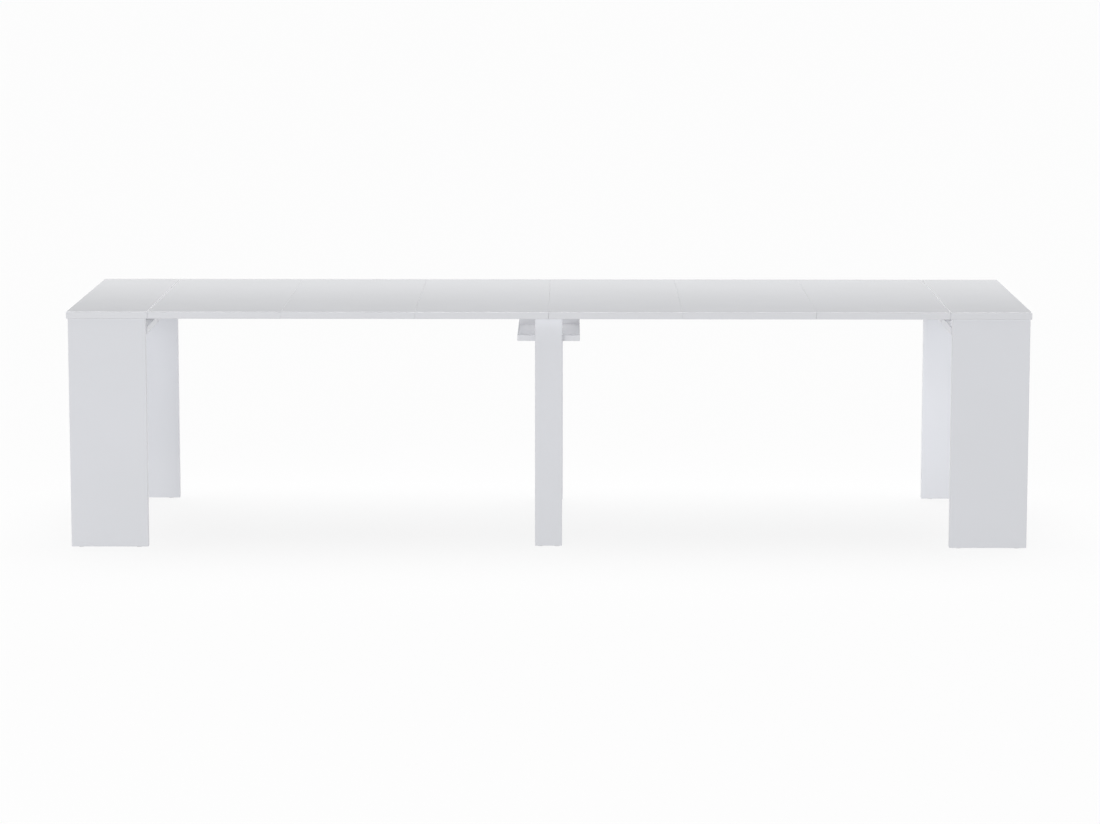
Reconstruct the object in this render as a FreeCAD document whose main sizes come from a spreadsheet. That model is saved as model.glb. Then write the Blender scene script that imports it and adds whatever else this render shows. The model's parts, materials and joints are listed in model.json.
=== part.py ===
import FreeCAD, Part
import Sketcher
import os

# Extending console table, drawn out to its full length.
# X runs along the table, Y from front to back, Z up; the origin is on the floor below the middle.

doc = FreeCAD.newDocument("extending_console_table")

leaves_per_side = 3
leaf_total = 2 * leaves_per_side
stages = leaves_per_side + 1

# Driving dimensions in millimetres
driving_sizes = {
    "end_top_length": 254,
    "leaf_pitch": 417,
    "seam_gap": 0.25,
    "table_depth": 900,
    "table_height": 746,
    "board_thickness": 22,
    "top_arris": 2,
    "seam_arris": 0.6,
    "leg_arris": 1.5,
    "leg_width": 242,
    "leg_end_setback": 5,
    "leg_front_setback": 3,
    "rail_space": 32,
    "nest_gap": 2,
    "centre_leg_width": 85,
    "tray_length": 196,
    "tray_thickness": 19,
    "saddle_length": 190,
    "saddle_width": 14,
    "rail_pack_offset": 122,
    "rail_width": 15.4,
    "rail_lane_gap": 0.6,
    "rail_run_gap": 0.3,
    "rail_end_clearance": 4,
    "slot_lip_depth": 2.5,
    "tongue_neck_height": 8,
    "tongue_head_height": 14,
    "tongue_head_depth": 3.4,
    "tongue_clearance": 0.3,
    "bracket_leg": 30,
    "bracket_thickness": 2,
    "bracket_width": 20,
    "bracket_screw_offset": 19,
    "bracket_spacing": 110,
    "centre_bracket_spacing": 48,
    "screw_diameter": 4.5,
    "screw_head_diameter": 8.5,
    "screw_head_height": 2.4,
    "screw_head_round": 0.8,
    "screw_recess_length": 4.6,
    "screw_recess_width": 1.1,
    "screw_recess_depth": 1.4,
    "bracket_screw_length": 15,
    "rail_screw_bite": 8,
    "rail_screw_spacing": 140,
    "saddle_screw_spacing": 130,
    "dowel_diameter": 8,
    "dowel_length": 30,
    "dowel_chamfer": 0.8,
    "leg_dowel_spacing": 120,
    "apron_dowel_spacing": 560,
    "glide_diameter": 20,
    "glide_height": 1.2,
    "glide_round": 0.5,
    "glide_pin_diameter": 4,
    "glide_pin_length": 14,
    "glide_inset": 30,
    "centre_glide_spacing": 52,
    "locator_length": 30,
    "locator_width": 18,
    "locator_height": 12,
    "locator_round": 2,
    "locator_spigot_diameter": 8,
    "locator_spigot_length": 11,
    "locator_spacing": 290,
    "locator_gap": 2,
}

sheet = doc.addObject("Spreadsheet::Sheet", "Sizes")
for row, (alias, value) in enumerate(driving_sizes.items(), start=1):
    sheet.set(f"A{row}", alias)
    sheet.set(f"B{row}", str(value))
    sheet.setAlias(f"B{row}", alias)
doc.recompute()

# Places and sizes that follow from the driving ones
places = doc.addObject("App::VarSet", "Places")
derived_sizes = {
    "slide_travel": f"{leaves_per_side} * Sizes.leaf_pitch",
    "half_length": "Places.slide_travel + Sizes.end_top_length",
    "top_underside": "Sizes.table_height - Sizes.board_thickness",
    "top_z": "Sizes.table_height - Sizes.board_thickness / 2",
    "end_top_x": "Places.slide_travel + (Sizes.end_top_length + Sizes.seam_gap / 2) / 2",
    "leg_x": "Places.half_length - Sizes.leg_end_setback - Sizes.leg_width / 2",
    "leg_inner_x": "Places.leg_x - Sizes.leg_width / 2",
    "leg_y": "Sizes.table_depth / 2 - Sizes.leg_front_setback - Sizes.board_thickness / 2",
    "leg_inner_y": "Places.leg_y - Sizes.board_thickness / 2",
    "leg_height": "Places.top_underside - Sizes.glide_height",
    "rail_board_top": "Places.top_underside - Sizes.rail_space",
    "rail_board_bottom": "Places.rail_board_top - Sizes.board_thickness",
    "rail_board_length": "Sizes.leg_width - Sizes.board_thickness",
    "rail_board_x": "Places.leg_inner_x + Places.rail_board_length / 2",
    "apron_x": "Places.leg_x + Sizes.leg_width / 2 - Sizes.board_thickness / 2",
    "apron_inner_x": "Places.apron_x - Sizes.board_thickness / 2",
    "tray_top": "Places.rail_board_bottom - Sizes.nest_gap",
    "tray_bottom": "Places.tray_top - Sizes.tray_thickness",
    "centre_leg_y": "Places.leg_inner_y - Sizes.nest_gap - Sizes.board_thickness / 2",
    "centre_leg_inner_y": "Places.centre_leg_y - Sizes.board_thickness / 2",
    "centre_leg_height": "Places.leg_height - Sizes.rail_run_gap",
    "rail_z": "Places.rail_board_top + Sizes.rail_space / 2",
    "rail_height": "Sizes.rail_space - 2 * Sizes.rail_run_gap",
    "rail_underside": "Places.rail_z - Places.rail_height / 2",
    "rail_length": "2 * (Places.apron_inner_x - Places.slide_travel - Sizes.rail_end_clearance)",
    "rail_foot_start": "Places.leg_inner_x - Places.slide_travel",
    "rail_foot_length": "Places.rail_length / 2 - Places.rail_foot_start",
    "lane_pitch": "Sizes.rail_width + Sizes.rail_lane_gap",
    "pack_half_width": f"{stages} * Places.lane_pitch + Sizes.rail_width / 2",
    "saddle_height": "Places.rail_underside - Places.tray_top",
    "leg_notch_length": "Sizes.centre_leg_width / 2 + Sizes.nest_gap",
    "leg_notch_width": "Sizes.board_thickness + 2 * Sizes.nest_gap",
    "saddle_notch_length": "Sizes.saddle_length / 2 + Sizes.nest_gap",
    "saddle_notch_width": "Sizes.saddle_width + 2 * Sizes.nest_gap",
    "rail_screw_length": "Sizes.board_thickness - Sizes.screw_head_height + Sizes.rail_screw_bite",
    "saddle_screw_length": "Places.rail_underside - Places.tray_bottom - Sizes.screw_head_height"
                           " + Sizes.rail_screw_bite",
    "locator_y": "Sizes.rail_pack_offset + Places.pack_half_width + Sizes.locator_gap"
                 " + Sizes.locator_width / 2",
}
for name in derived_sizes:
    places.addProperty("App::PropertyFloat", name)
for name, formula in derived_sizes.items():
    places.setExpression(name, formula)
doc.recompute()

nodes = []
place_tolerance = 0.001
upright = FreeCAD.Rotation()
half_turn = FreeCAD.Rotation(FreeCAD.Vector(0, 0, 1), 180)
towards_front = FreeCAD.Rotation(FreeCAD.Vector(1, 0, 0), 90)
along_length = FreeCAD.Rotation(FreeCAD.Vector(0, 1, 0), 90)


def put(piece, x, y, z, turn=upright):
    piece.Placement = FreeCAD.Placement(FreeCAD.Vector(), turn)
    for axis, formula in zip("xyz", (x, y, z)):
        piece.setExpression(f"Placement.Base.{axis}", formula)


def block(body, kind, name, size, centre):
    # A block of the given size about the given centre
    feature = body.newObject(f"PartDesign::{kind}", name)
    for side, formula in zip(("Length", "Width", "Height"), size):
        feature.setExpression(side, formula)
    corner = [f"{middle} - ({extent}) / 2" for middle, extent in zip(centre, size)]
    put(feature, *corner)
    return feature


def rod(body, name, radius, length, bottom):
    # A round bar along Z that starts at the given height
    feature = body.newObject("PartDesign::AdditiveCylinder", name)
    feature.setExpression("Radius", radius)
    feature.setExpression("Height", length)
    put(feature, "0", "0", bottom)
    return feature


def edges_at_height(feature, height):
    # The names of a feature's edges that lie flat at one height
    doc.recompute()
    found = []
    for number, edge in enumerate(feature.Shape.Edges, start=1):
        box = edge.BoundBox
        if max(abs(box.ZMin - height), abs(box.ZMax - height)) < place_tolerance:
            found.append(f"Edge{number}")
    return found


def eased(body, kind, name, base, edges, value, size):
    # A fillet or chamfer over the named edges of the base
    feature = body.newObject(f"PartDesign::{kind}", name)
    feature.Base = (base, edges)
    feature.setExpression(value, size)
    return feature


def board(name, size, centre, round_edges=True):
    # A flat board, with its arrises rounded where they show
    body = doc.addObject("PartDesign::Body", name)
    blank = block(body, "AdditiveBox", f"{name}_blank", size, centre)
    if round_edges:
        every_edge = [f"Edge{number}" for number in range(1, 13)]
        eased(body, "Fillet", f"{name}_arris", blank, every_edge, "Radius", "Sizes.leg_arris")
    return body


def edges_at_ends(feature, ends):
    # The names of a feature's edges that lie on its ends along X, -1 for the left end and 1 for the right
    doc.recompute()
    whole = feature.Shape.BoundBox
    planes = [whole.XMin if end < 0 else whole.XMax for end in ends]
    found = []
    for number, edge in enumerate(feature.Shape.Edges, start=1):
        box = edge.BoundBox
        if any(max(abs(box.XMin - x), abs(box.XMax - x)) < place_tolerance for x in planes):
            found.append(f"Edge{number}")
    return found


def top_panel(name, length, x, seam_ends=()):
    # A piece of the table top: well rounded on its free edges, and only just where two leaves meet
    body = doc.addObject("PartDesign::Body", name)
    blank = block(body, "AdditiveBox", f"{name}_blank",
                  (length, "Sizes.table_depth", "Sizes.board_thickness"), (x, "0", "Places.top_z"))
    seam_edges = edges_at_ends(blank, seam_ends)
    every_edge = [f"Edge{number}" for number in range(1, 13)]
    free_edges = [edge for edge in every_edge if edge not in seam_edges]
    free = eased(body, "Fillet", f"{name}_arris", blank, free_edges, "Radius", "Sizes.top_arris")
    if seam_ends:
        seam_edges = edges_at_ends(free, seam_ends)
        eased(body, "Fillet", f"{name}_seam_arris", free, seam_edges, "Radius", "Sizes.seam_arris")
    return body


def group(name, pieces):
    compound = doc.addObject("Part::Compound", name)
    compound.Links = pieces
    return compound


def copies(name, master, spots):
    # Copies of one piece, each at its own spot and turn
    placed = []
    for number, (x, y, z, turn) in enumerate(spots, start=1):
        copy = doc.addObject("App::Link", f"{name}_{number}")
        copy.LinkedObject = master
        put(copy, x, y, z, turn)
        placed.append(copy)
    return group(name, placed)


def drilled(name, blank, *tools):
    # The blank with the holes that its fixings need
    piece = blank
    for number, tool in enumerate(tools, start=1):
        cut = doc.addObject("Part::Cut", f"{name}_cut_{number}")
        cut.Base = piece
        cut.Tool = tool
        piece = cut
    return piece


def keep(label, piece):
    piece.Label = label
    nodes.append(piece)


def screw(name, length):
    # A round-headed cross-recess screw: the head's seat is at the origin and the shank points up
    body = doc.addObject("PartDesign::Body", name)
    head = rod(body, f"{name}_head", "Sizes.screw_head_diameter / 2", "Sizes.screw_head_height",
               "-Sizes.screw_head_height")
    rim = edges_at_height(head, -sheet.screw_head_height)
    eased(body, "Fillet", f"{name}_rim", head, rim, "Radius", "Sizes.screw_head_round")
    rod(body, f"{name}_shank", "Sizes.screw_diameter / 2", length, "0")
    recess_middle = "-Sizes.screw_head_height + Sizes.screw_recess_depth / 2"
    long_side, short_side = "Sizes.screw_recess_length", "Sizes.screw_recess_width"
    for number, (across, along) in enumerate(((long_side, short_side), (short_side, long_side)), start=1):
        block(body, "SubtractiveBox", f"{name}_recess_{number}",
              (across, along, "Sizes.screw_recess_depth"), ("0", "0", recess_middle))
    return body


def bore(name, length):
    # The hole that a screw leaves, with the seat of its head
    body = doc.addObject("PartDesign::Body", name)
    rod(body, f"{name}_seat", "Sizes.screw_head_diameter / 2", "Sizes.screw_head_height",
        "-Sizes.screw_head_height")
    rod(body, f"{name}_shaft", "Sizes.screw_diameter / 2", length, "0")
    return body


def outline_body(name, corners, length):
    # A straight profile along X, centred on its body's origin, from the corners of its cross-section
    body = doc.addObject("PartDesign::Body", name)
    section = body.newObject("Sketcher::SketchObject", f"{name}_section")
    cross_plane = [plane for plane in body.Origin.OriginFeatures if plane.Role == "YZ_Plane"][0]
    section.AttachmentSupport = (cross_plane, "")
    section.MapMode = "FlatFace"
    spots = [FreeCAD.Vector(places.evalExpression(y), places.evalExpression(z), 0) for y, z in corners]
    count = len(corners)
    for number in range(count):
        section.addGeometry(Part.LineSegment(spots[number], spots[(number + 1) % count]), False)
    rules = [Sketcher.Constraint("Coincident", number, 2, (number + 1) % count, 1) for number in range(count)]
    for number, spot in enumerate(spots):
        rules.append(Sketcher.Constraint("DistanceX", -1, 1, number, 1, spot.x))
        rules.append(Sketcher.Constraint("DistanceY", -1, 1, number, 1, spot.y))
    section.addConstraint(rules)
    for number, formulas in enumerate(corners):
        for step, formula in enumerate(formulas):
            section.setExpression(f"Constraints[{count + 2 * number + step}]", formula)
    pad = body.newObject("PartDesign::Pad", f"{name}_length")
    pad.Profile = section
    pad.Midplane = True
    pad.setExpression("Length", length)
    return body


def rail(name, pack, lane, x, slot=True, tongue=True, foot_side=0):
    # A rail member: a slot on its outer face holds the tongue of the next member out.
    # An end member has a foot on its outer half, which stands on the rail board of its own end unit
    half_width = "Sizes.rail_width / 2"
    half_height = "Places.rail_height / 2"
    neck = "Sizes.tongue_neck_height / 2"
    head = "Sizes.tongue_head_height / 2"
    clearance = "Sizes.tongue_clearance"
    head_start = f"{half_width} + Sizes.rail_lane_gap + Sizes.slot_lip_depth + {clearance}"
    head_end = f"{head_start} + Sizes.tongue_head_depth"
    lip = f"-{half_width} + Sizes.slot_lip_depth"
    slot_end = f"{lip} + Sizes.tongue_head_depth + 2 * {clearance}"
    mouth = f"({neck} + {clearance})"
    hollow = f"({head} + {clearance})"
    corners = [(f"-{half_width}", f"-{half_height}"), (half_width, f"-{half_height}")]
    if tongue:
        corners += [(half_width, f"-{neck}"), (head_start, f"-{neck}")]
        corners += [(head_start, f"-{head}"), (head_end, f"-{head}")]
        corners += [(head_end, head), (head_start, head)]
        corners += [(head_start, neck), (half_width, neck)]
    corners += [(half_width, half_height), (f"-{half_width}", half_height)]
    if slot:
        corners += [(f"-{half_width}", mouth), (lip, mouth)]
        corners += [(lip, hollow), (slot_end, hollow)]
        corners += [(slot_end, f"-{hollow}"), (lip, f"-{hollow}")]
        corners += [(lip, f"-{mouth}"), (f"-{half_width}", f"-{mouth}")]
    member = outline_body(name, corners, "Places.rail_length")
    if foot_side:
        foot_x = f"{-pack * foot_side} * (Places.rail_foot_start + Places.rail_foot_length / 2)"
        block(member, "AdditiveBox", f"{name}_foot",
              ("Places.rail_foot_length", "Sizes.rail_width", "Sizes.rail_run_gap"),
              (foot_x, "0", f"-{half_height} - Sizes.rail_run_gap / 2"))
    turn = upright if pack < 0 else half_turn
    put(member, x, rail_y(pack, lane), "Places.rail_z", turn)
    return member


def rail_y(pack, lane):
    # Lanes are counted from the middle of a pack, positive towards the outside of the table
    return f"{pack} * (Sizes.rail_pack_offset + {lane} * Places.lane_pitch)"


def seated_rail(label, pack, lane, x, holes, **details):
    keep(label, drilled(label, rail(f"{label}_member", pack, lane, x, **details), holes))


# Fixings, each modelled once at the origin
bracket_screw = screw("bracket_screw", "Sizes.bracket_screw_length")
bracket_bore = bore("bracket_bore", "Sizes.bracket_screw_length")
rail_screw = screw("rail_screw", "Places.rail_screw_length")
rail_bore = bore("rail_bore", "Places.rail_screw_length")
saddle_screw = screw("saddle_screw", "Places.saddle_screw_length")
saddle_bore = bore("saddle_bore", "Places.saddle_screw_length")

# The bracket's corner is at the origin: one flange runs back under the top, the other down the leg
bracket_corners = [
    ("0", "0"),
    ("0", "-Sizes.bracket_leg"),
    ("Sizes.bracket_thickness", "-Sizes.bracket_leg"),
    ("Sizes.bracket_thickness", "-Sizes.bracket_thickness"),
    ("Sizes.bracket_leg", "-Sizes.bracket_thickness"),
    ("Sizes.bracket_leg", "0"),
]
bracket_blank = outline_body("bracket_blank", bracket_corners, "Sizes.bracket_width")
bracket_screw_spots = [
    ("0", "Sizes.bracket_screw_offset", "-Sizes.bracket_thickness", upright),
    ("0", "Sizes.bracket_thickness", "-Sizes.bracket_screw_offset", towards_front),
]
bracket_screw_pair = copies("bracket_screw_pair", bracket_screw, bracket_screw_spots)
bracket_bore_pair = copies("bracket_bore_pair", bracket_bore, bracket_screw_spots)
bracket = drilled("bracket", bracket_blank, bracket_bore_pair)

dowel = doc.addObject("PartDesign::Body", "dowel")
dowel_bar = rod(dowel, "dowel_bar", "Sizes.dowel_diameter / 2", "Sizes.dowel_length",
                "-Sizes.dowel_length / 2")
dowel_ends = edges_at_height(dowel_bar, -sheet.dowel_length / 2)
dowel_ends += edges_at_height(dowel_bar, sheet.dowel_length / 2)
eased(dowel, "Chamfer", "dowel_chamfer", dowel_bar, dowel_ends, "Size", "Sizes.dowel_chamfer")

glide = doc.addObject("PartDesign::Body", "glide")
glide_foot = rod(glide, "glide_foot", "Sizes.glide_diameter / 2", "Sizes.glide_height", "0")
glide_rim = edges_at_height(glide_foot, 0)
eased(glide, "Fillet", "glide_round", glide_foot, glide_rim, "Radius", "Sizes.glide_round")
rod(glide, "glide_pin", "Sizes.glide_pin_diameter / 2", "Sizes.glide_pin_length", "Sizes.glide_height")

locator = doc.addObject("PartDesign::Body", "locator")
locator_block = block(locator, "AdditiveBox", "locator_block",
                      ("Sizes.locator_length", "Sizes.locator_width", "Sizes.locator_height"),
                      ("0", "0", "-Sizes.locator_height / 2"))
locator_rim = edges_at_height(locator_block, -sheet.locator_height)
eased(locator, "Fillet", "locator_round", locator_block, locator_rim, "Radius", "Sizes.locator_round")
rod(locator, "locator_spigot", "Sizes.locator_spigot_diameter / 2", "Sizes.locator_spigot_length", "0")

both = (-1, 1)
packs = (("front", -1), ("back", 1))


def end_unit(side_name, side, lane):
    # An end top on two wide legs, tied by an apron and by the board that its rails are screwed to
    leg_x = f"{side} * Places.leg_x"
    rail_board_x = f"{side} * Places.rail_board_x"
    apron_x = f"{side} * Places.apron_x"
    board_thickness = "Sizes.board_thickness"

    bracket_spots = []
    glide_spots = []
    dowel_spots = []
    rail_screw_spots = []
    for pack_name, pack in packs:
        turn = upright if pack < 0 else half_turn
        inner_face = f"{pack} * Places.leg_inner_y"
        for end in both:
            bracket_spots.append((f"{leg_x} + {end} * Sizes.bracket_spacing / 2", inner_face,
                                  "Places.top_underside", turn))
            glide_spots.append((f"{leg_x} + {end} * (Sizes.leg_width / 2 - Sizes.glide_inset)",
                                f"{pack} * Places.leg_y", "0", upright))
            dowel_spots.append((f"{leg_x} + {end} * Sizes.leg_dowel_spacing / 2", inner_face,
                                "Places.rail_board_top - Sizes.board_thickness / 2", towards_front))
            rail_screw_spots.append((f"{rail_board_x} + {end} * Sizes.rail_screw_spacing / 2",
                                     rail_y(pack, lane),
                                     "Places.rail_board_bottom + Sizes.screw_head_height", upright))
        dowel_spots.append((apron_x, inner_face, "Places.rail_z", towards_front))
        dowel_spots.append((f"{side} * Places.apron_inner_x", f"{pack} * Sizes.apron_dowel_spacing / 2",
                            "Places.rail_board_top - Sizes.board_thickness / 2", along_length))

    brackets = copies(f"{side_name}_bracket_set", bracket, bracket_spots)
    bracket_screws = copies(f"{side_name}_bracket_screw_set", bracket_screw_pair, bracket_spots)
    bracket_bores = copies(f"{side_name}_bracket_bores", bracket_bore_pair, bracket_spots)
    glides = copies(f"{side_name}_glide_set", glide, glide_spots)
    dowels = copies(f"{side_name}_dowel_set", dowel, dowel_spots)
    rail_screws = copies(f"{side_name}_rail_screw_set", rail_screw, rail_screw_spots)
    rail_bores = copies(f"{side_name}_rail_bores", rail_bore, rail_screw_spots)

    top = top_panel(f"{side_name}_top_panel", "Sizes.end_top_length - Sizes.seam_gap / 2",
                    f"{side} * Places.end_top_x")
    keep(f"{side_name}_top", drilled(f"{side_name}_top", top, bracket_bores))

    for pack_name, pack in packs:
        label = f"{side_name}_{pack_name}_leg"
        leg = board(f"{label}_panel", ("Sizes.leg_width", board_thickness, "Places.leg_height"),
                    (leg_x, f"{pack} * Places.leg_y", "Sizes.glide_height + Places.leg_height / 2"))
        keep(label, drilled(label, leg, bracket_bores, dowels, glides))

    apron_height = "Sizes.rail_space + Sizes.board_thickness"
    apron = board(f"{side_name}_apron_panel", (board_thickness, "2 * Places.leg_inner_y", apron_height),
                  (apron_x, "0", f"Places.top_underside - ({apron_height}) / 2"), round_edges=False)
    keep(f"{side_name}_apron", drilled(f"{side_name}_apron", apron, dowels))

    # The rail board is notched where the centre legs and saddles stand when the table is closed:
    # a notch reaches from the middle of the closed table to the far side of the leg or saddle
    rail_board_z = "Places.rail_board_top - Sizes.board_thickness / 2"
    label = f"{side_name}_rail_board"
    rail_board = board(f"{label}_panel",
                       ("Places.rail_board_length", "2 * Places.leg_inner_y", board_thickness),
                       (rail_board_x, "0", rail_board_z), round_edges=False)
    for pack_name, pack in packs:
        block(rail_board, "SubtractiveBox", f"{label}_{pack_name}_leg_notch",
              ("Places.leg_notch_length", "Places.leg_notch_width", board_thickness),
              (f"{side} * (Places.slide_travel + Places.leg_notch_length / 2)",
               f"{pack} * (Places.leg_inner_y - Places.leg_notch_width / 2)", rail_board_z))
        block(rail_board, "SubtractiveBox", f"{label}_{pack_name}_saddle_notch",
              ("Places.saddle_notch_length", "Places.saddle_notch_width", board_thickness),
              (f"{side} * (Places.slide_travel + Places.saddle_notch_length / 2)",
               f"{pack} * Sizes.rail_pack_offset", rail_board_z))
    keep(label, drilled(label, rail_board, dowels, rail_bores))

    for pack_name, pack in packs:
        seated_rail(f"{side_name}_{pack_name}_end_rail", pack, lane, f"{side} * Places.slide_travel",
                    rail_bores, slot=side > 0, tongue=side < 0, foot_side=side)

    keep(f"{side_name}_brackets", brackets)
    keep(f"{side_name}_bracket_screws", bracket_screws)
    keep(f"{side_name}_rail_screws", rail_screws)
    keep(f"{side_name}_dowels", dowels)
    keep(f"{side_name}_glides", glides)


def centre_support():
    # Two narrow legs with a tray between them, which carries the middle member of both rail packs
    bracket_spots = []
    glide_spots = []
    screw_spots = []
    for pack_name, pack in packs:
        turn = upright if pack < 0 else half_turn
        for end in both:
            bracket_spots.append((f"{end} * Sizes.centre_bracket_spacing / 2",
                                  f"{pack} * Places.centre_leg_inner_y", "Places.tray_bottom", turn))
            glide_spots.append((f"{end} * Sizes.centre_glide_spacing / 2", f"{pack} * Places.centre_leg_y",
                                "0", upright))
            screw_spots.append((f"{end} * Sizes.saddle_screw_spacing / 2", f"{pack} * Sizes.rail_pack_offset",
                                "Places.tray_bottom + Sizes.screw_head_height", upright))
    brackets = copies("centre_bracket_set", bracket, bracket_spots)
    bracket_screws = copies("centre_bracket_screw_set", bracket_screw_pair, bracket_spots)
    bracket_bores = copies("centre_bracket_bores", bracket_bore_pair, bracket_spots)
    glides = copies("centre_glide_set", glide, glide_spots)
    saddle_screws = copies("saddle_screw_set", saddle_screw, screw_spots)
    saddle_bores = copies("saddle_bores", saddle_bore, screw_spots)

    for pack_name, pack in packs:
        label = f"centre_{pack_name}_leg"
        leg = board(f"{label}_panel",
                    ("Sizes.centre_leg_width", "Sizes.board_thickness", "Places.centre_leg_height"),
                    ("0", f"{pack} * Places.centre_leg_y",
                     "Sizes.glide_height + Places.centre_leg_height / 2"))
        keep(label, drilled(label, leg, bracket_bores, glides))

        label = f"centre_{pack_name}_saddle"
        saddle = board(f"{label}_block",
                       ("Sizes.saddle_length", "Sizes.saddle_width", "Places.saddle_height"),
                       ("0", f"{pack} * Sizes.rail_pack_offset",
                        "Places.tray_top + Places.saddle_height / 2"),
                       round_edges=False)
        keep(label, drilled(label, saddle, saddle_bores))
        seated_rail(f"centre_{pack_name}_rail", pack, 0, "0", saddle_bores)

    tray = board("centre_tray_panel",
                 ("Sizes.tray_length", "2 * Places.centre_leg_inner_y", "Sizes.tray_thickness"),
                 ("0", "0", "Places.tray_top - Sizes.tray_thickness / 2"))
    keep("centre_tray", drilled("centre_tray", tray, bracket_bores, saddle_bores))
    keep("centre_brackets", brackets)
    keep("centre_bracket_screws", bracket_screws)
    keep("centre_saddle_screws", saddle_screws)
    keep("centre_glides", glides)


def middle_rails(side_name, side):
    # Middle members are spread evenly between the centre member and the end member
    for pack_name, pack in packs:
        for stage in range(1, stages):
            label = f"{side_name}_{pack_name}_rail_{stage}"
            x = f"{side} * {stage} * Places.slide_travel / {stages}"
            keep(label, rail(f"{label}_member", pack, -side * stage, x))


def leaf(number):
    # A loose leaf that lies on the rails, kept in place by locators on both sides of the rail packs
    label = f"leaf_{number}"
    x = f"({number} - ({leaf_total} + 1) / 2) * Sizes.leaf_pitch"
    spots = []
    for pack_name, pack in packs:
        for end in both:
            spots.append((f"{x} + {end} * Sizes.locator_spacing / 2", f"{pack} * Places.locator_y",
                          "Places.top_underside", upright))
    locators = copies(f"{label}_locator_set", locator, spots)
    leaf_ends = [end for end in both if 1 <= number + end <= leaf_total]
    panel = top_panel(f"{label}_panel", "Sizes.leaf_pitch - Sizes.seam_gap", x, leaf_ends)
    keep(label, drilled(label, panel, locators))
    keep(f"{label}_locators", locators)


end_unit("left", -1, stages)
end_unit("right", 1, -stages)
centre_support()
middle_rails("left", -1)
middle_rails("right", 1)
for leaf_number in range(1, leaf_total + 1):
    leaf(leaf_number)
doc.recompute()

for item in doc.Objects:
    if "Invalid" in item.State or "Error" in item.State:
        raise RuntimeError(f"{item.Label} failed: {item.State}")
for node in nodes:
    if node.Shape.isNull() or not node.Shape.isValid():
        raise RuntimeError(f"{node.Label} has no valid shape")

os.makedirs("parts", exist_ok=True)
for node in nodes:
    node.Shape.exportStep(f"parts/{node.Label}.step")
    print(node.Label, len(node.Shape.Solids), "solids", round(node.Shape.Volume), "mm3")
print(len(nodes), "nodes")
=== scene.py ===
import json
import math
import bpy
import bmesh
from mathutils import Matrix, Vector


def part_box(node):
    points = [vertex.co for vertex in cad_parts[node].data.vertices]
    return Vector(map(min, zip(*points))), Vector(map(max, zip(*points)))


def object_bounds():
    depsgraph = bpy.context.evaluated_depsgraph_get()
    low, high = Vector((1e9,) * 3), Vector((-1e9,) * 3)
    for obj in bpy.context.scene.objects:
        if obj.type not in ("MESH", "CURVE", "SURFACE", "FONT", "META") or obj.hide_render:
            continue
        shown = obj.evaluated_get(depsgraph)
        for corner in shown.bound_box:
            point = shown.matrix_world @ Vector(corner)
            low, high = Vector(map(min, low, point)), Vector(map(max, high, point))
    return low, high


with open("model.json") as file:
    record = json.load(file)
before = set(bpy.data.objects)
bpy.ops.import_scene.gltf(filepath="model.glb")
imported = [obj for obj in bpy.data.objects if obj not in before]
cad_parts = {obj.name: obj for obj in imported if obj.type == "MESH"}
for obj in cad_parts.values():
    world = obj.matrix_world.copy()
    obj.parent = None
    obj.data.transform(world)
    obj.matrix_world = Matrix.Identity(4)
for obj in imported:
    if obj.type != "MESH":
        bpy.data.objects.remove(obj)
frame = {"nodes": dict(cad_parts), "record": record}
cadLow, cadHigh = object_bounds()
nodes = frame["nodes"]
print("frame loaded:", len(nodes), "nodes")


class Flow:
    # a value on its way through a material; arithmetic on it adds Math nodes
    def __init__(self, tree, socket):
        self.tree = tree
        self.socket = socket

    def join(self, operation, first, second):
        maths = self.tree.nodes.new("ShaderNodeMath")
        maths.operation = operation
        for place, value in zip(maths.inputs, (first, second)):
            if isinstance(value, Flow):
                self.tree.links.new(value.socket, place)
            else:
                place.default_value = value
        return Flow(self.tree, maths.outputs[0])

    def __add__(self, other):
        return self.join("ADD", self, other)

    def __radd__(self, other):
        return self.join("ADD", other, self)

    def __sub__(self, other):
        return self.join("SUBTRACT", self, other)

    def __rsub__(self, other):
        return self.join("SUBTRACT", other, self)

    def __mul__(self, other):
        return self.join("MULTIPLY", self, other)

    def __rmul__(self, other):
        return self.join("MULTIPLY", other, self)

    def __lt__(self, other):
        return self.join("LESS_THAN", self, other)

    def __abs__(self):
        return self.join("ABSOLUTE", self, 0.0)

    def __or__(self, other):
        return self.join("MAXIMUM", self, other)


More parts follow.
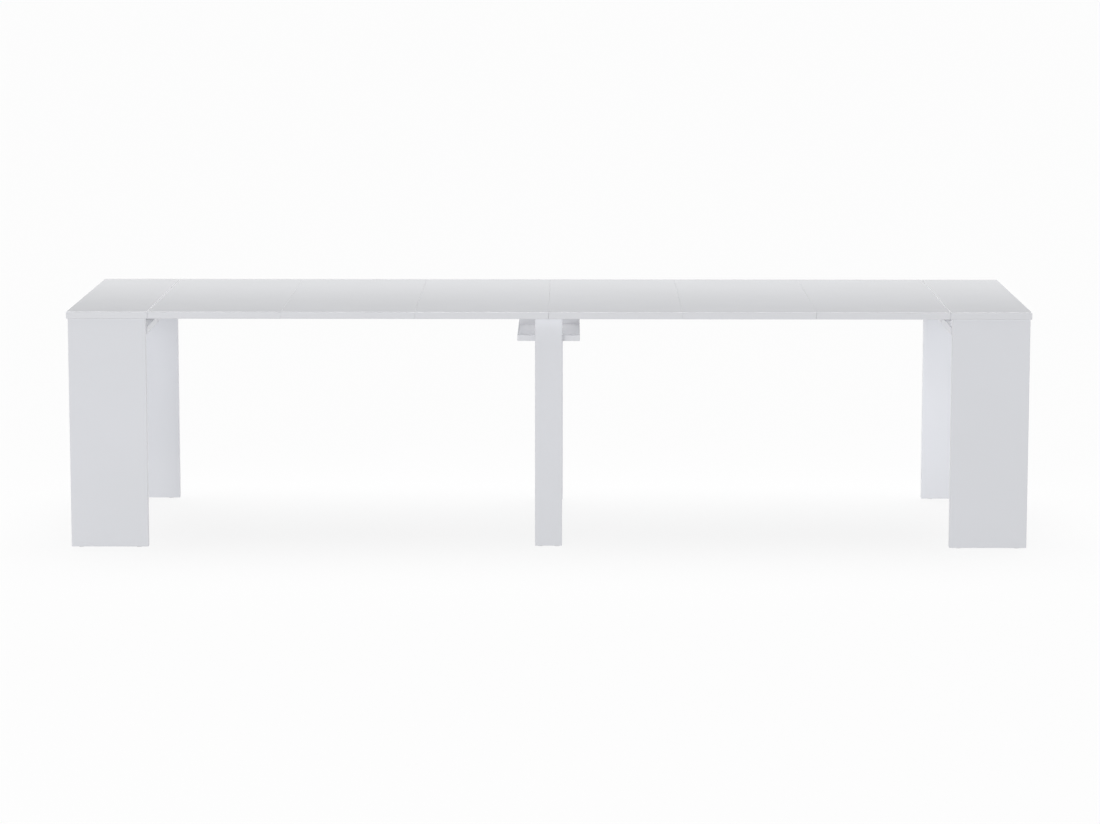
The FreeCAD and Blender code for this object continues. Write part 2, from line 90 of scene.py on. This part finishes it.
class Finish:
    # the nodes of a material, or of the world, laid one after another
    def __init__(self, owner):
        owner.use_nodes = True
        self.owner = owner
        self.tree = owner.node_tree
        self.tree.nodes.clear()

    def node(self, kind, settings, sockets, out=0):
        made = self.tree.nodes.new("ShaderNode" + kind)
        for key, value in settings.items():
            setattr(made, key, value)
        for key, value in sockets.items():
            if isinstance(value, Flow):
                self.tree.links.new(value.socket, made.inputs[key])
            else:
                made.inputs[key].default_value = value
        if len(made.outputs):      # an output node has none
            return Flow(self.tree, made.outputs[out])

    def objectPoint(self):
        return self.node("TexCoord", {}, {}, out="Object")

    def part(self, vector, axis):
        return self.node("SeparateXYZ", {}, {"Vector": vector}, out=axis)

    def noise(self, point, scale, detail):
        return self.node("TexNoise", {}, {"Vector": point, "Scale": scale, "Detail": detail})

    def stretched(self, point, scale):
        return self.node("Mapping", {}, {"Vector": point, "Scale": scale})

    def between(self, value, low, high, first=0.0, last=1.0):
        # goes smoothly from first to last while the value goes from low to high
        ranged = {"Value": value, "From Min": low, "From Max": high, "To Min": first, "To Max": last}
        return self.node("MapRange", {"interpolation_type": "SMOOTHSTEP"}, ranged)

    def tint(self, share, first, last):
        # a share of 0 is the first colour, of 1 the last
        first, last = [colour if isinstance(colour, Flow) else (*colour, 1) for colour in (first, last)]
        return self.node("Mix", {"data_type": "RGBA"}, {0: share, 6: first, 7: last}, out=2)

    def bump(self, height, strength, distance):
        return self.node("Bump", {}, {"Height": height, "Strength": strength, "Distance": distance})

    def end(self, kind, shader):
        self.node("Output" + kind, {}, {"Surface": shader})

    def principled(self, sockets):
        self.end("Material", self.node("BsdfPrincipled", {}, sockets))
        return self.owner


# white gloss boards: lacquered faces, satin edge bands and undersides, with painted highlights on the upper
# arrises and end joints and painted shade on undersides, lower edges and open leaf joints
board = {
    "faceColour": (0.792, 0.803, 0.842),
    "cloudColour": (0.778, 0.789, 0.824),  # faint large clouds in the lacquer
    "cloudScale": 1.7,
    "cloudFade": (0.35, 0.65),
    "faceRoughness": 0.10,
    "smudge": 0.04,                        # change of roughness by finger marks
    "smudgeScale": 9.0,
    "peelScale": 260.0,                    # fine ripple of sprayed lacquer
    "peelStrength": 0.5,
    "peelDepth": 0.000012,
    "refraction": 1.5,
    "bandColour": (0.768, 0.775, 0.806),
    "bandRoughness": 0.42,
    "bandFade": (0.55, 0.9),               # how squarely a surface looks the faces' way: band, then face
    "topBand": 0.002,                      # thickness of the band on tops, and on the other boards
    "legBand": 0.0015,
    "glueColour": (0.60, 0.60, 0.62),      # hairline between face and band
    "glueShare": 0.5,
    "glueWidth": 0.00018,
    "arrisHighlightColour": (0.87, 0.875, 0.90),    # painted highlight on the rounded upper edges
    "arrisRoughness": 0.2,
    "arrisStart": (0.15, 0.5),             # how far a surface looks up where they start, and where they end
    "arrisEnd": (0.85, 0.97),
    "undersideShadeColour": (0.62, 0.625, 0.645),    # painted shade: undersides and lower edges darker
    "backRoughness": 0.40,
    "backFade": (-0.5, -0.15),
    "jointHighlightColour": (0.87, 0.87, 0.89),       # painted highlight: whiter band on the two boards that meet at an end joint
    "lipRoughness": 0.42,
    "lipWidth": 0.0022,
    "seamShadeColour": (0.36, 0.36, 0.37),      # painted shade: dark line on the edge where two leaves don't quite close
    "seamWidth": 0.0006,
    "seamFade": (0.6, 0.8),                # how squarely that edge looks to the front or back
}


def boardFinish(name, faceAxis, glueLines, endJoint=None, openJoints=()):
    # faceAxis: the way that the lacquered faces look
    # glueLines: pairs of an axis and the distance from the middle where face and band meet
    # endJoint: distance from the middle to the end joints, where a painted highlight runs along the tops
    # openJoints: places along X of the leaf joints where painted shade shows as dark lines on the edge
    finish = Finish(bpy.data.materials.new(name))
    point = finish.objectPoint()
    normal = finish.node("NewGeometry", {}, {}, out="Normal")
    upward = finish.part(normal, "Z")
    band = finish.between(abs(finish.part(normal, faceAxis)), *board["bandFade"], 1.0, 0.0)
    # painted highlight: rounded edges that slope upward get a whiter colour
    arrisHighlight = finish.between(upward, *board["arrisStart"])
    arrisHighlight = arrisHighlight * finish.between(upward, *board["arrisEnd"], 1.0, 0.0)
    # painted shade: surfaces that face downward get a darker colour
    back = finish.between(upward, *board["backFade"], 1.0, 0.0)
    clouds = finish.between(finish.noise(point, board["cloudScale"], 3.0), *board["cloudFade"])
    smudges = finish.noise(point, board["smudgeScale"], 4.0)
    peel = finish.noise(point, board["peelScale"], 1.0)
    glue = None
    for axis, place in glueLines:
        line = abs(abs(finish.part(point, axis)) - place) < board["glueWidth"]
        glue = line if glue is None else glue | line
    glue = glue * (1 - band) * board["glueShare"]
    colour = finish.tint(clouds, board["faceColour"], board["cloudColour"])
    colour = finish.tint(band, colour, board["bandColour"])
    colour = finish.tint(arrisHighlight, colour, board["arrisHighlightColour"])
    colour = finish.tint(back, colour, board["undersideShadeColour"])
    colour = finish.tint(glue, colour, board["glueColour"])
    rough = board["faceRoughness"] + (smudges - 0.5) * board["smudge"]
    rough = rough + band * (board["bandRoughness"] - board["faceRoughness"])
    rough = rough + back * (board["backRoughness"] - rough)
    rough = rough + arrisHighlight * (board["arrisRoughness"] - rough)
    if endJoint is not None:
        # painted highlight along the end joints on the tops
        jointHighlight = (abs(abs(finish.part(point, "X")) - endJoint) < board["lipWidth"]) * (1 - band)
        colour = finish.tint(jointHighlight, colour, board["jointHighlightColour"])
        rough = rough + jointHighlight * (board["lipRoughness"] - rough)
    for place in openJoints:
        lengthwise = finish.between(abs(finish.part(normal, "Y")), *board["seamFade"])
        # painted shade of the gap at an open leaf joint, on front and back edges
        seamShade = (abs(finish.part(point, "X") - place) < board["seamWidth"]) * lengthwise
        colour = finish.tint(seamShade, colour, board["seamShadeColour"])
    return finish.principled({
        "Base Color": colour,
        "Roughness": rough,
        "Normal": finish.bump(peel, board["peelStrength"], board["peelDepth"]),
        "IOR": board["refraction"],
    })


# drawn aluminium rails with fine lines along their length
rails = {
    "colour": (0.89, 0.90, 0.915),
    "streakColour": (0.80, 0.81, 0.825),
    "streakStretch": (3.0, 900.0, 900.0),
    "streakFade": (0.35, 0.7),
    "streakStrength": 0.4,
    "streakDepth": 0.00002,
    "patchScale": 22.0,
    "roughness": 0.46,
    "streak": 0.16,                        # change of roughness by the lines, and by dull patches
    "patch": 0.06,
}


def railFinish():
    finish = Finish(bpy.data.materials.new("anodised_rail"))
    point = finish.objectPoint()
    lines = finish.noise(finish.stretched(point, rails["streakStretch"]), 1.0, 3.0)
    patches = finish.noise(point, rails["patchScale"], 2.0)
    streaks = finish.between(lines, *rails["streakFade"])
    rough = rails["roughness"] + (lines - 0.5) * rails["streak"] + (patches - 0.5) * rails["patch"]
    return finish.principled({
        "Base Color": finish.tint(streaks, rails["colour"], rails["streakColour"]),
        "Metallic": 1.0,
        "Roughness": rough,
        "Normal": finish.bump(lines, rails["streakStrength"], rails["streakDepth"]),
    })


# zinc-plated brackets and screws
zinc = {
    "bracketColour": (0.58, 0.585, 0.59),
    "bracketSpangle": (0.46, 0.47, 0.48),
    "screwColour": (0.66, 0.63, 0.54),
    "screwStain": (0.54, 0.50, 0.40),
    "spangleScale": 160.0,
    "spangleShare": 0.6,                   # shares of the spangle and of the haze in the mottle
    "hazeShare": 0.4,
    "hazeScale": 55.0,
    "roughness": 0.34,
    "haze": 0.2,                           # change of roughness by the haze
}


def zincFinish(name, colour, stain):
    finish = Finish(bpy.data.materials.new(name))
    point = finish.objectPoint()
    spangle = finish.node("TexVoronoi", {}, {"Vector": point, "Scale": zinc["spangleScale"]}, out="Color")
    haze = finish.noise(point, zinc["hazeScale"], 3.0)
    mottle = finish.part(spangle, "X") * zinc["spangleShare"] + haze * zinc["hazeShare"]
    return finish.principled({
        "Base Color": finish.tint(mottle, colour, stain),
        "Metallic": 1.0,
        "Roughness": zinc["roughness"] + (haze - 0.5) * zinc["haze"],
    })


# moulded plastic under the legs and leaves
plastic = {
    "glideColour": (0.62, 0.62, 0.63),
    "glideScuff": (0.50, 0.50, 0.50),
    "locatorColour": (0.66, 0.66, 0.67),
    "locatorShade": (0.60, 0.60, 0.61),
    "markScale": 70.0,
    "markFade": (0.45, 0.75),
    "grainScale": 900.0,
    "grainStrength": 0.5,
    "grainDepth": 0.00003,
    "roughness": 0.46,
    "wear": 0.18,                          # change of roughness by the marks
}


def plasticFinish(name, colour, shade):
    finish = Finish(bpy.data.materials.new(name))
    point = finish.objectPoint()
    grain = finish.noise(point, plastic["grainScale"], 2.0)
    marks = finish.noise(point, plastic["markScale"], 4.0)
    return finish.principled({
        "Base Color": finish.tint(finish.between(marks, *plastic["markFade"]), colour, shade),
        "Roughness": plastic["roughness"] + (marks - 0.5) * plastic["wear"],
        "Normal": finish.bump(grain, plastic["grainStrength"], plastic["grainDepth"]),
    })


# bare beech dowels
beech = {
    "pale": (0.66, 0.48, 0.31),
    "dark": (0.50, 0.33, 0.19),
    "grainStretch": (400.0, 40.0, 400.0),
    "grainFade": (0.35, 0.7),
    "roughness": 0.62,
    "grain": 0.2,                          # change of roughness by the grain
}


def beechFinish():
    finish = Finish(bpy.data.materials.new("beech_dowel"))
    grain = finish.noise(finish.stretched(finish.objectPoint(), beech["grainStretch"]), 1.0, 4.0)
    return finish.principled({
        "Base Color": finish.tint(finish.between(grain, *beech["grainFade"]), beech["pale"], beech["dark"]),
        "Roughness": beech["roughness"] + (grain - 0.5) * beech["grain"],
    })


def paint(material, names):
    for name in names:
        mesh = nodes[name].data
        mesh.materials.clear()
        mesh.materials.append(material)


def namesIn(slot):
    return [row["node"] for row in frame["record"]["subparts"] if row["material_slot"] == slot]


def bandLines(node, axis):
    # where a board's edge bands begin, as distances from the middle of the table
    low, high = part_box(node)
    index = "XYZ".index(axis)
    ends = (low[index] + board["legBand"], high[index] - board["legBand"])
    return sorted({(axis, round(abs(end), 6)) for end in ends})


def jointPlace(left, right):
    # where two neighbouring boards meet along the table
    return (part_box(left)[1].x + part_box(right)[0].x) / 2


def paintBoards():
    tops = ["left_top", "right_top"] + [f"leaf_{number}" for number in range(1, 7)]
    endLegs = [f"{side}_{place}_leg" for side in ("left", "right") for place in ("front", "back")]
    centreLegs = ["centre_front_leg", "centre_back_leg"]
    flats = ["centre_tray", "left_rail_board", "right_rail_board"]
    saddles = ["centre_front_saddle", "centre_back_saddle"]
    aprons = ["left_apron", "right_apron"]
    topLines = [("X", cadHigh.x - board["topBand"]), ("Y", cadHigh.y - board["topBand"])]
    openJoints = [jointPlace("leaf_3", "leaf_4"), jointPlace("leaf_5", "leaf_6")]
    paint(boardFinish("gloss_top", "Z", topLines, jointPlace("leaf_6", "right_top"), openJoints), tops)
    paint(boardFinish("gloss_end_leg", "Y", bandLines("left_front_leg", "X")), endLegs)
    paint(boardFinish("gloss_centre_leg", "Y", bandLines("centre_front_leg", "X")), centreLegs)
    paint(boardFinish("gloss_tray", "Z", bandLines("centre_tray", "X")), flats + saddles)
    paint(boardFinish("gloss_apron", "X", bandLines("left_apron", "Z")), aprons)


def paintFittings():
    paint(railFinish(), namesIn("rail_aluminium"))
    bracket = zincFinish("zinc_bracket", zinc["bracketColour"], zinc["bracketSpangle"])
    paint(bracket, namesIn("bracket_zinc"))
    screw = zincFinish("zinc_screw", zinc["screwColour"], zinc["screwStain"])
    paint(screw, namesIn("screw_steel"))
    glide = plasticFinish("glide", plastic["glideColour"], plastic["glideScuff"])
    paint(glide, namesIn("glide_plastic"))
    locator = plasticFinish("locator", plastic["locatorColour"], plastic["locatorShade"])
    paint(locator, namesIn("locator_plastic"))
    paint(beechFinish(), namesIn("dowel_beech"))


paintBoards()
paintFittings()
print("finishes laid on the boards, rails and fittings")

# studio: pale floor, white surroundings, four grey walls that only reflections see
studio = {
    "floorSize": 300.0,
    "floorColour": (0.90, 0.90, 0.90, 1),
    "floorSeen": 0.85,         # share of plain white in what the camera and mirrors see of the floor
    "floorBounce": 0.84,       # share of plain white in the light that the floor throws up
    "white": (1, 1, 1, 1),
    "horizon": 0.895,          # light from low on all sides, and from overhead
    "zenith": 0.06,
    "skyFade": (0.25, 0.55),
    "sideShade": 0.55,         # share of the low light that comes from straight left and right
    "sideFade": (0.55, 0.95),
    "wallOff": 5.0,            # distance of the walls from the middle
    "wallHeight": 5.0,
    "wallFoot": 1.0,           # brightness by height: foot, then low, then high
    "wallLow": 0.86,
    "wallHigh": 0.33,
    "footFade": (0.90, 1.15),
    "wallFade": (1.29, 1.41),
}


def whiteRays(finish):
    # camera, mirror and glass rays see the plain white surroundings
    names = ("Is Camera Ray", "Is Glossy Ray", "Is Transmission Ray")
    rays = [finish.node("LightPath", {}, {}, out=name) for name in names]
    return rays[0] | rays[1] | rays[2]


def addMesh(name, bm, material):
    mesh = bpy.data.meshes.new(name)
    bm.to_mesh(mesh)
    bm.free()
    mesh.materials.append(material)
    made = bpy.data.objects.new(name, mesh)
    bpy.context.scene.collection.objects.link(made)
    return made


def makeFloor():
    finish = Finish(bpy.data.materials.new("floor_white"))
    plain = finish.node("BsdfDiffuse", {}, {"Color": studio["floorColour"]})
    glow = finish.node("Emission", {}, {"Color": studio["white"], "Strength": 1.0})
    share = whiteRays(finish) * (studio["floorSeen"] - studio["floorBounce"]) + studio["floorBounce"]
    finish.end("Material", finish.node("MixShader", {}, {0: share, 1: plain, 2: glow}))
    bm = bmesh.new()
    bmesh.ops.create_grid(bm, x_segments=1, y_segments=1, size=studio["floorSize"] / 2)
    floor = addMesh("floor", bm, finish.owner)


def makeWall():
    finish = Finish(bpy.data.materials.new("wall_grey"))
    height = finish.part(finish.objectPoint(), "Z")
    grey = finish.between(height, *studio["wallFade"], studio["wallLow"], studio["wallHigh"])
    grey = grey + finish.between(height, *studio["footFade"], studio["wallFoot"] - studio["wallLow"], 0.0)
    finish.end("Material", finish.node("Emission", {}, {"Color": grey, "Strength": 1.0}))
    bm = bmesh.new()
    ring = bmesh.ops.create_circle(bm, segments=4, radius=studio["wallOff"] * math.sqrt(2))
    bmesh.ops.rotate(bm, verts=ring["verts"], matrix=Matrix.Rotation(math.radians(45), 3, "Z"))
    risen = bmesh.ops.extrude_edge_only(bm, edges=bm.edges[:])["geom"]
    lifted = [item for item in risen if isinstance(item, bmesh.types.BMVert)]
    bmesh.ops.translate(bm, verts=lifted, vec=(0, 0, studio["wallHeight"]))
    wall = addMesh("wall", bm, finish.owner)
    wall.visible_camera = False
    wall.visible_diffuse = False
    wall.visible_shadow = False
    wall.visible_transmission = False


def makeWorld():
    finish = Finish(bpy.data.worlds.new("studio"))
    way = finish.node("TexCoord", {}, {}, out="Generated")
    sky = finish.between(finish.part(way, "Z"), *studio["skyFade"], studio["horizon"], studio["zenith"])
    sky = sky * finish.between(abs(finish.part(way, "X")), *studio["sideFade"], 1.0, studio["sideShade"])
    light = finish.node("Background", {}, {"Color": studio["white"], "Strength": sky})
    plain = finish.node("Background", {}, {"Color": studio["white"], "Strength": 1.0})
    finish.end("World", finish.node("MixShader", {}, {0: whiteRays(finish), 1: light, 2: plain}))
    bpy.context.scene.world = finish.owner


# soft lamps: one overhead, a key at the left of the camera, faint fills close under the top,
# and a weak one below it that lights the right back leg
overhead = {"place": (0, 0, 5), "turn": (-12, 0, 0), "strength": 2.5, "spread": 60}
key = {"place": (-4.2, -10.4, 1.9), "aim": (0.0, 0.0, 0.45), "power": 142.0, "size": 1.6, "spread": 180}
fills = {
    "tint": (1.0, 0.975, 0.93),
    "left": {"place": (-1.37, -0.31, 0.7215), "size": (0.18, 0.19), "power": 0.105},
    "tray": {"place": (0.0, -0.267, 0.690), "size": (0.19, 0.262), "power": 0.069},
    "right": {"place": (1.37, -0.31, 0.7215), "size": (0.18, 0.19), "power": 0.195},
}
low = {"place": (0.80, -0.27, 0.32), "aim": (1.30, 0.43, 0.29), "power": 0.20, "size": 0.3, "spread": 75}


def addLamp(name, kind, power, place, turn):
    data = bpy.data.lights.new(name, kind)
    data.energy = power
    lamp = bpy.data.objects.new(name, data)
    lamp.location = place
    lamp.rotation_euler = turn
    lamp.visible_camera = False
    bpy.context.scene.collection.objects.link(lamp)
    return lamp


def makeLamps():
    turn = [math.radians(angle) for angle in overhead["turn"]]
    sun = addLamp("overhead", "SUN", overhead["strength"], overhead["place"], turn)
    sun.data.angle = math.radians(overhead["spread"])
    for name, values in (("key", key), ("low", low)):
        turn = (Vector(values["aim"]) - Vector(values["place"])).to_track_quat("-Z", "Y").to_euler()
        disk = addLamp(name, "AREA", values["power"], values["place"], turn)
        disk.data.shape = "DISK"
        disk.data.size = values["size"]
        disk.data.spread = math.radians(values["spread"])
    for name in ("left", "tray", "right"):
        values = fills[name]
        fill = addLamp(f"{name}_fill", "AREA", values["power"], values["place"], (0, 0, 0))
        fill.visible_glossy = False
        fill.data.color = fills["tint"]
        fill.data.shape = "RECTANGLE"
        fill.data.size, fill.data.size_y = values["size"]


# camera: a long lens well back, a little to the right of the middle
camera = {
    "place": (0.0726, -11.028, 2.063),
    "turn": (82.338, 0.0, 0.524),
    "lens": 112.06,
    "sensor": 36.0,
    "shift": (0.0084, -0.06),
    "clipEnd": 1000.0,
}


def makeCamera():
    data = bpy.data.cameras.new("camera")
    data.lens = camera["lens"]
    data.sensor_width = camera["sensor"]
    data.shift_x, data.shift_y = camera["shift"]
    data.clip_end = camera["clipEnd"]
    eye = bpy.data.objects.new("camera", data)
    eye.location = camera["place"]
    eye.rotation_euler = [math.radians(angle) for angle in camera["turn"]]
    bpy.context.scene.collection.objects.link(eye)
    bpy.context.scene.camera = eye


makeFloor()
makeWall()
makeWorld()
makeLamps()
makeCamera()
bpy.context.scene.view_settings.view_transform = "Standard"
print("studio, lamps and camera set")

bpy.context.view_layer.update()
